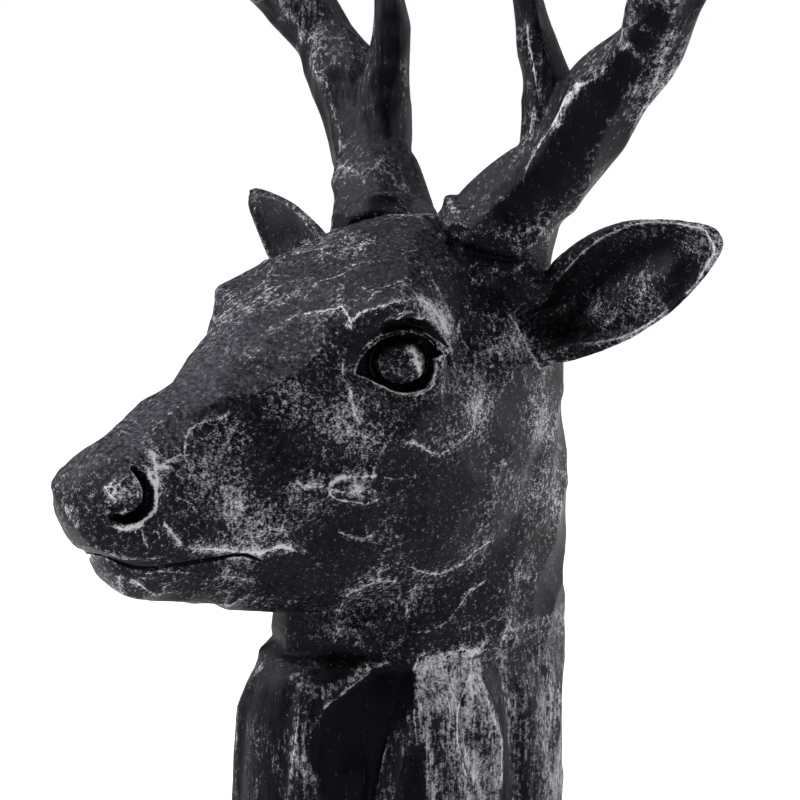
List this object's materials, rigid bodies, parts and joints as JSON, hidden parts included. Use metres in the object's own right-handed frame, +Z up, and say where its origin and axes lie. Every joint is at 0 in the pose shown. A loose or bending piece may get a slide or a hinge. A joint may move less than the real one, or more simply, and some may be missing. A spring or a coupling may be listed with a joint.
{
  "type": "deer head bust",
  "caption": "Stag's head and neck as a table-top bust with a hand-hewn surface, cast in one piece and cut flat below.",
  "frame": {"origin": "on the flat underside, near its middle, below the skull", "axes": "+Z up, -Y the way the stag faces, +X to its left"},
  "size_m": [0.319, 0.2665, 0.4897],
  "materials": {
    "black_resin": "satin black paint over cast resin, dry-brushed with silver on the ridges"
  },
  "bodies": {
    "root": {"deer_head_bust": "black_resin"}
  },
  "joints": []
}
